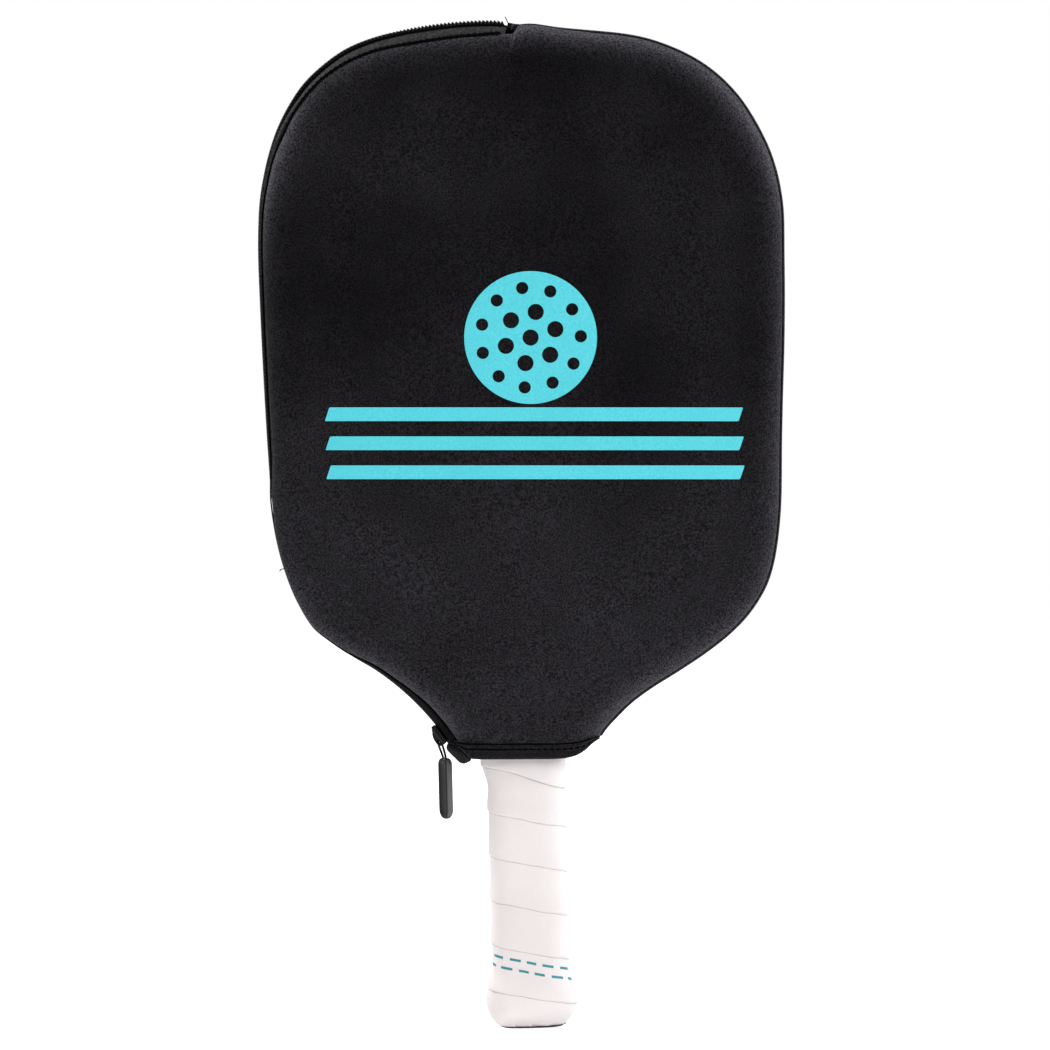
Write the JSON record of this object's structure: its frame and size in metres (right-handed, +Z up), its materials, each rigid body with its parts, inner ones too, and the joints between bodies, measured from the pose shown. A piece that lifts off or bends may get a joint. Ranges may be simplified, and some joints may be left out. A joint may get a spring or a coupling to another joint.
{
  "type": "paddle case",
  "caption": "Padded zip-round paddle cover with a folding front flap, a running zip slider with swinging pull, and a paddle inside whose wrapped handle stands out of the neck.",
  "frame": {"origin": "bottom centre of the whole part's box, which lies on the flat end face of the handle's butt", "axes": "+Z up the paddle from butt to head, -Y out of the printed front, +Y out of the flat plain back, +X to the stitched side opposite the zip"},
  "size_m": [0.2157, 0.0316, 0.4119],
  "materials": {
    "knit": "matte knit laminated to foam",
    "hem": "matte knit, stitched",
    "thread": "matte thread",
    "tape": "matte woven tape",
    "coil": "glossy moulded coil",
    "slider": "black enamel",
    "wire": "black enamel",
    "tab": "satin moulded rubber",
    "print": "flat printed ink",
    "core": "matte",
    "face": "fine textured",
    "guard": "satin",
    "handle": "matte foam",
    "grip": "soft tacky wrap",
    "collar": "satin tape",
    "butt": "satin",
    "band": "flat printed ink"
  },
  "bodies": {
    "back_shell": {"back_panel": "knit", "front_panel_fixed": "knit", "side_seam": "thread", "back_neck_hem": "hem", "zip_tape_back": "tape", "zip_coil_back": "coil", "zip_top_stop": "coil", "zip_bottom_stop": "coil", "zip_tape_end": "coil", "emblem_fixed": "print", "stripe_1_fixed": "print", "stripe_2_fixed": "print", "stripe_3_fixed": "print"},
    "front_flap": {"front_flap": "knit", "front_neck_hem": "hem", "zip_tape_front": "tape", "zip_coil_front": "coil", "emblem_on_flap": "print", "stripe_1_on_flap": "print", "stripe_2_on_flap": "print", "stripe_3_on_flap": "print"},
    "slider": {"slider_body": "slider"},
    "pull": {"pull_wire": "wire", "pull_tab": "tab"},
    "paddle": {"paddle_core": "core", "face_front": "face", "face_back": "face", "edge_guard": "guard", "handle_core": "handle", "grip_wrap": "grip", "grip_collar": "collar", "butt_cap": "butt", "grip_band": "band"}
  },
  "joints": [
    {"name": "flap_fold", "type": "hinge", "parent": "back_shell", "child": "front_flap", "pos_m": [0.0148, -0.0138, 0.26245], "axis": [-0.0886, 0.0143, 0.996], "range_deg": [0, 135]},
    {"name": "slider_travel", "type": "hinge", "parent": "back_shell", "child": "slider", "pos_m": [-0.1265, 0, 0.0578], "axis": [0, -1, 0], "range_deg": [0, 23]},
    {"name": "pull_swing", "type": "hinge", "parent": "slider", "child": "pull", "pos_m": [-0.0381, 0, 0.1176], "axis": [0, 1, 0], "range_deg": [0, 115]},
    {"name": "paddle_play", "type": "slide", "parent": "back_shell", "child": "paddle", "axis": [0, 0, 1], "range_m": [-0.001, 0.0008]}
  ]
}
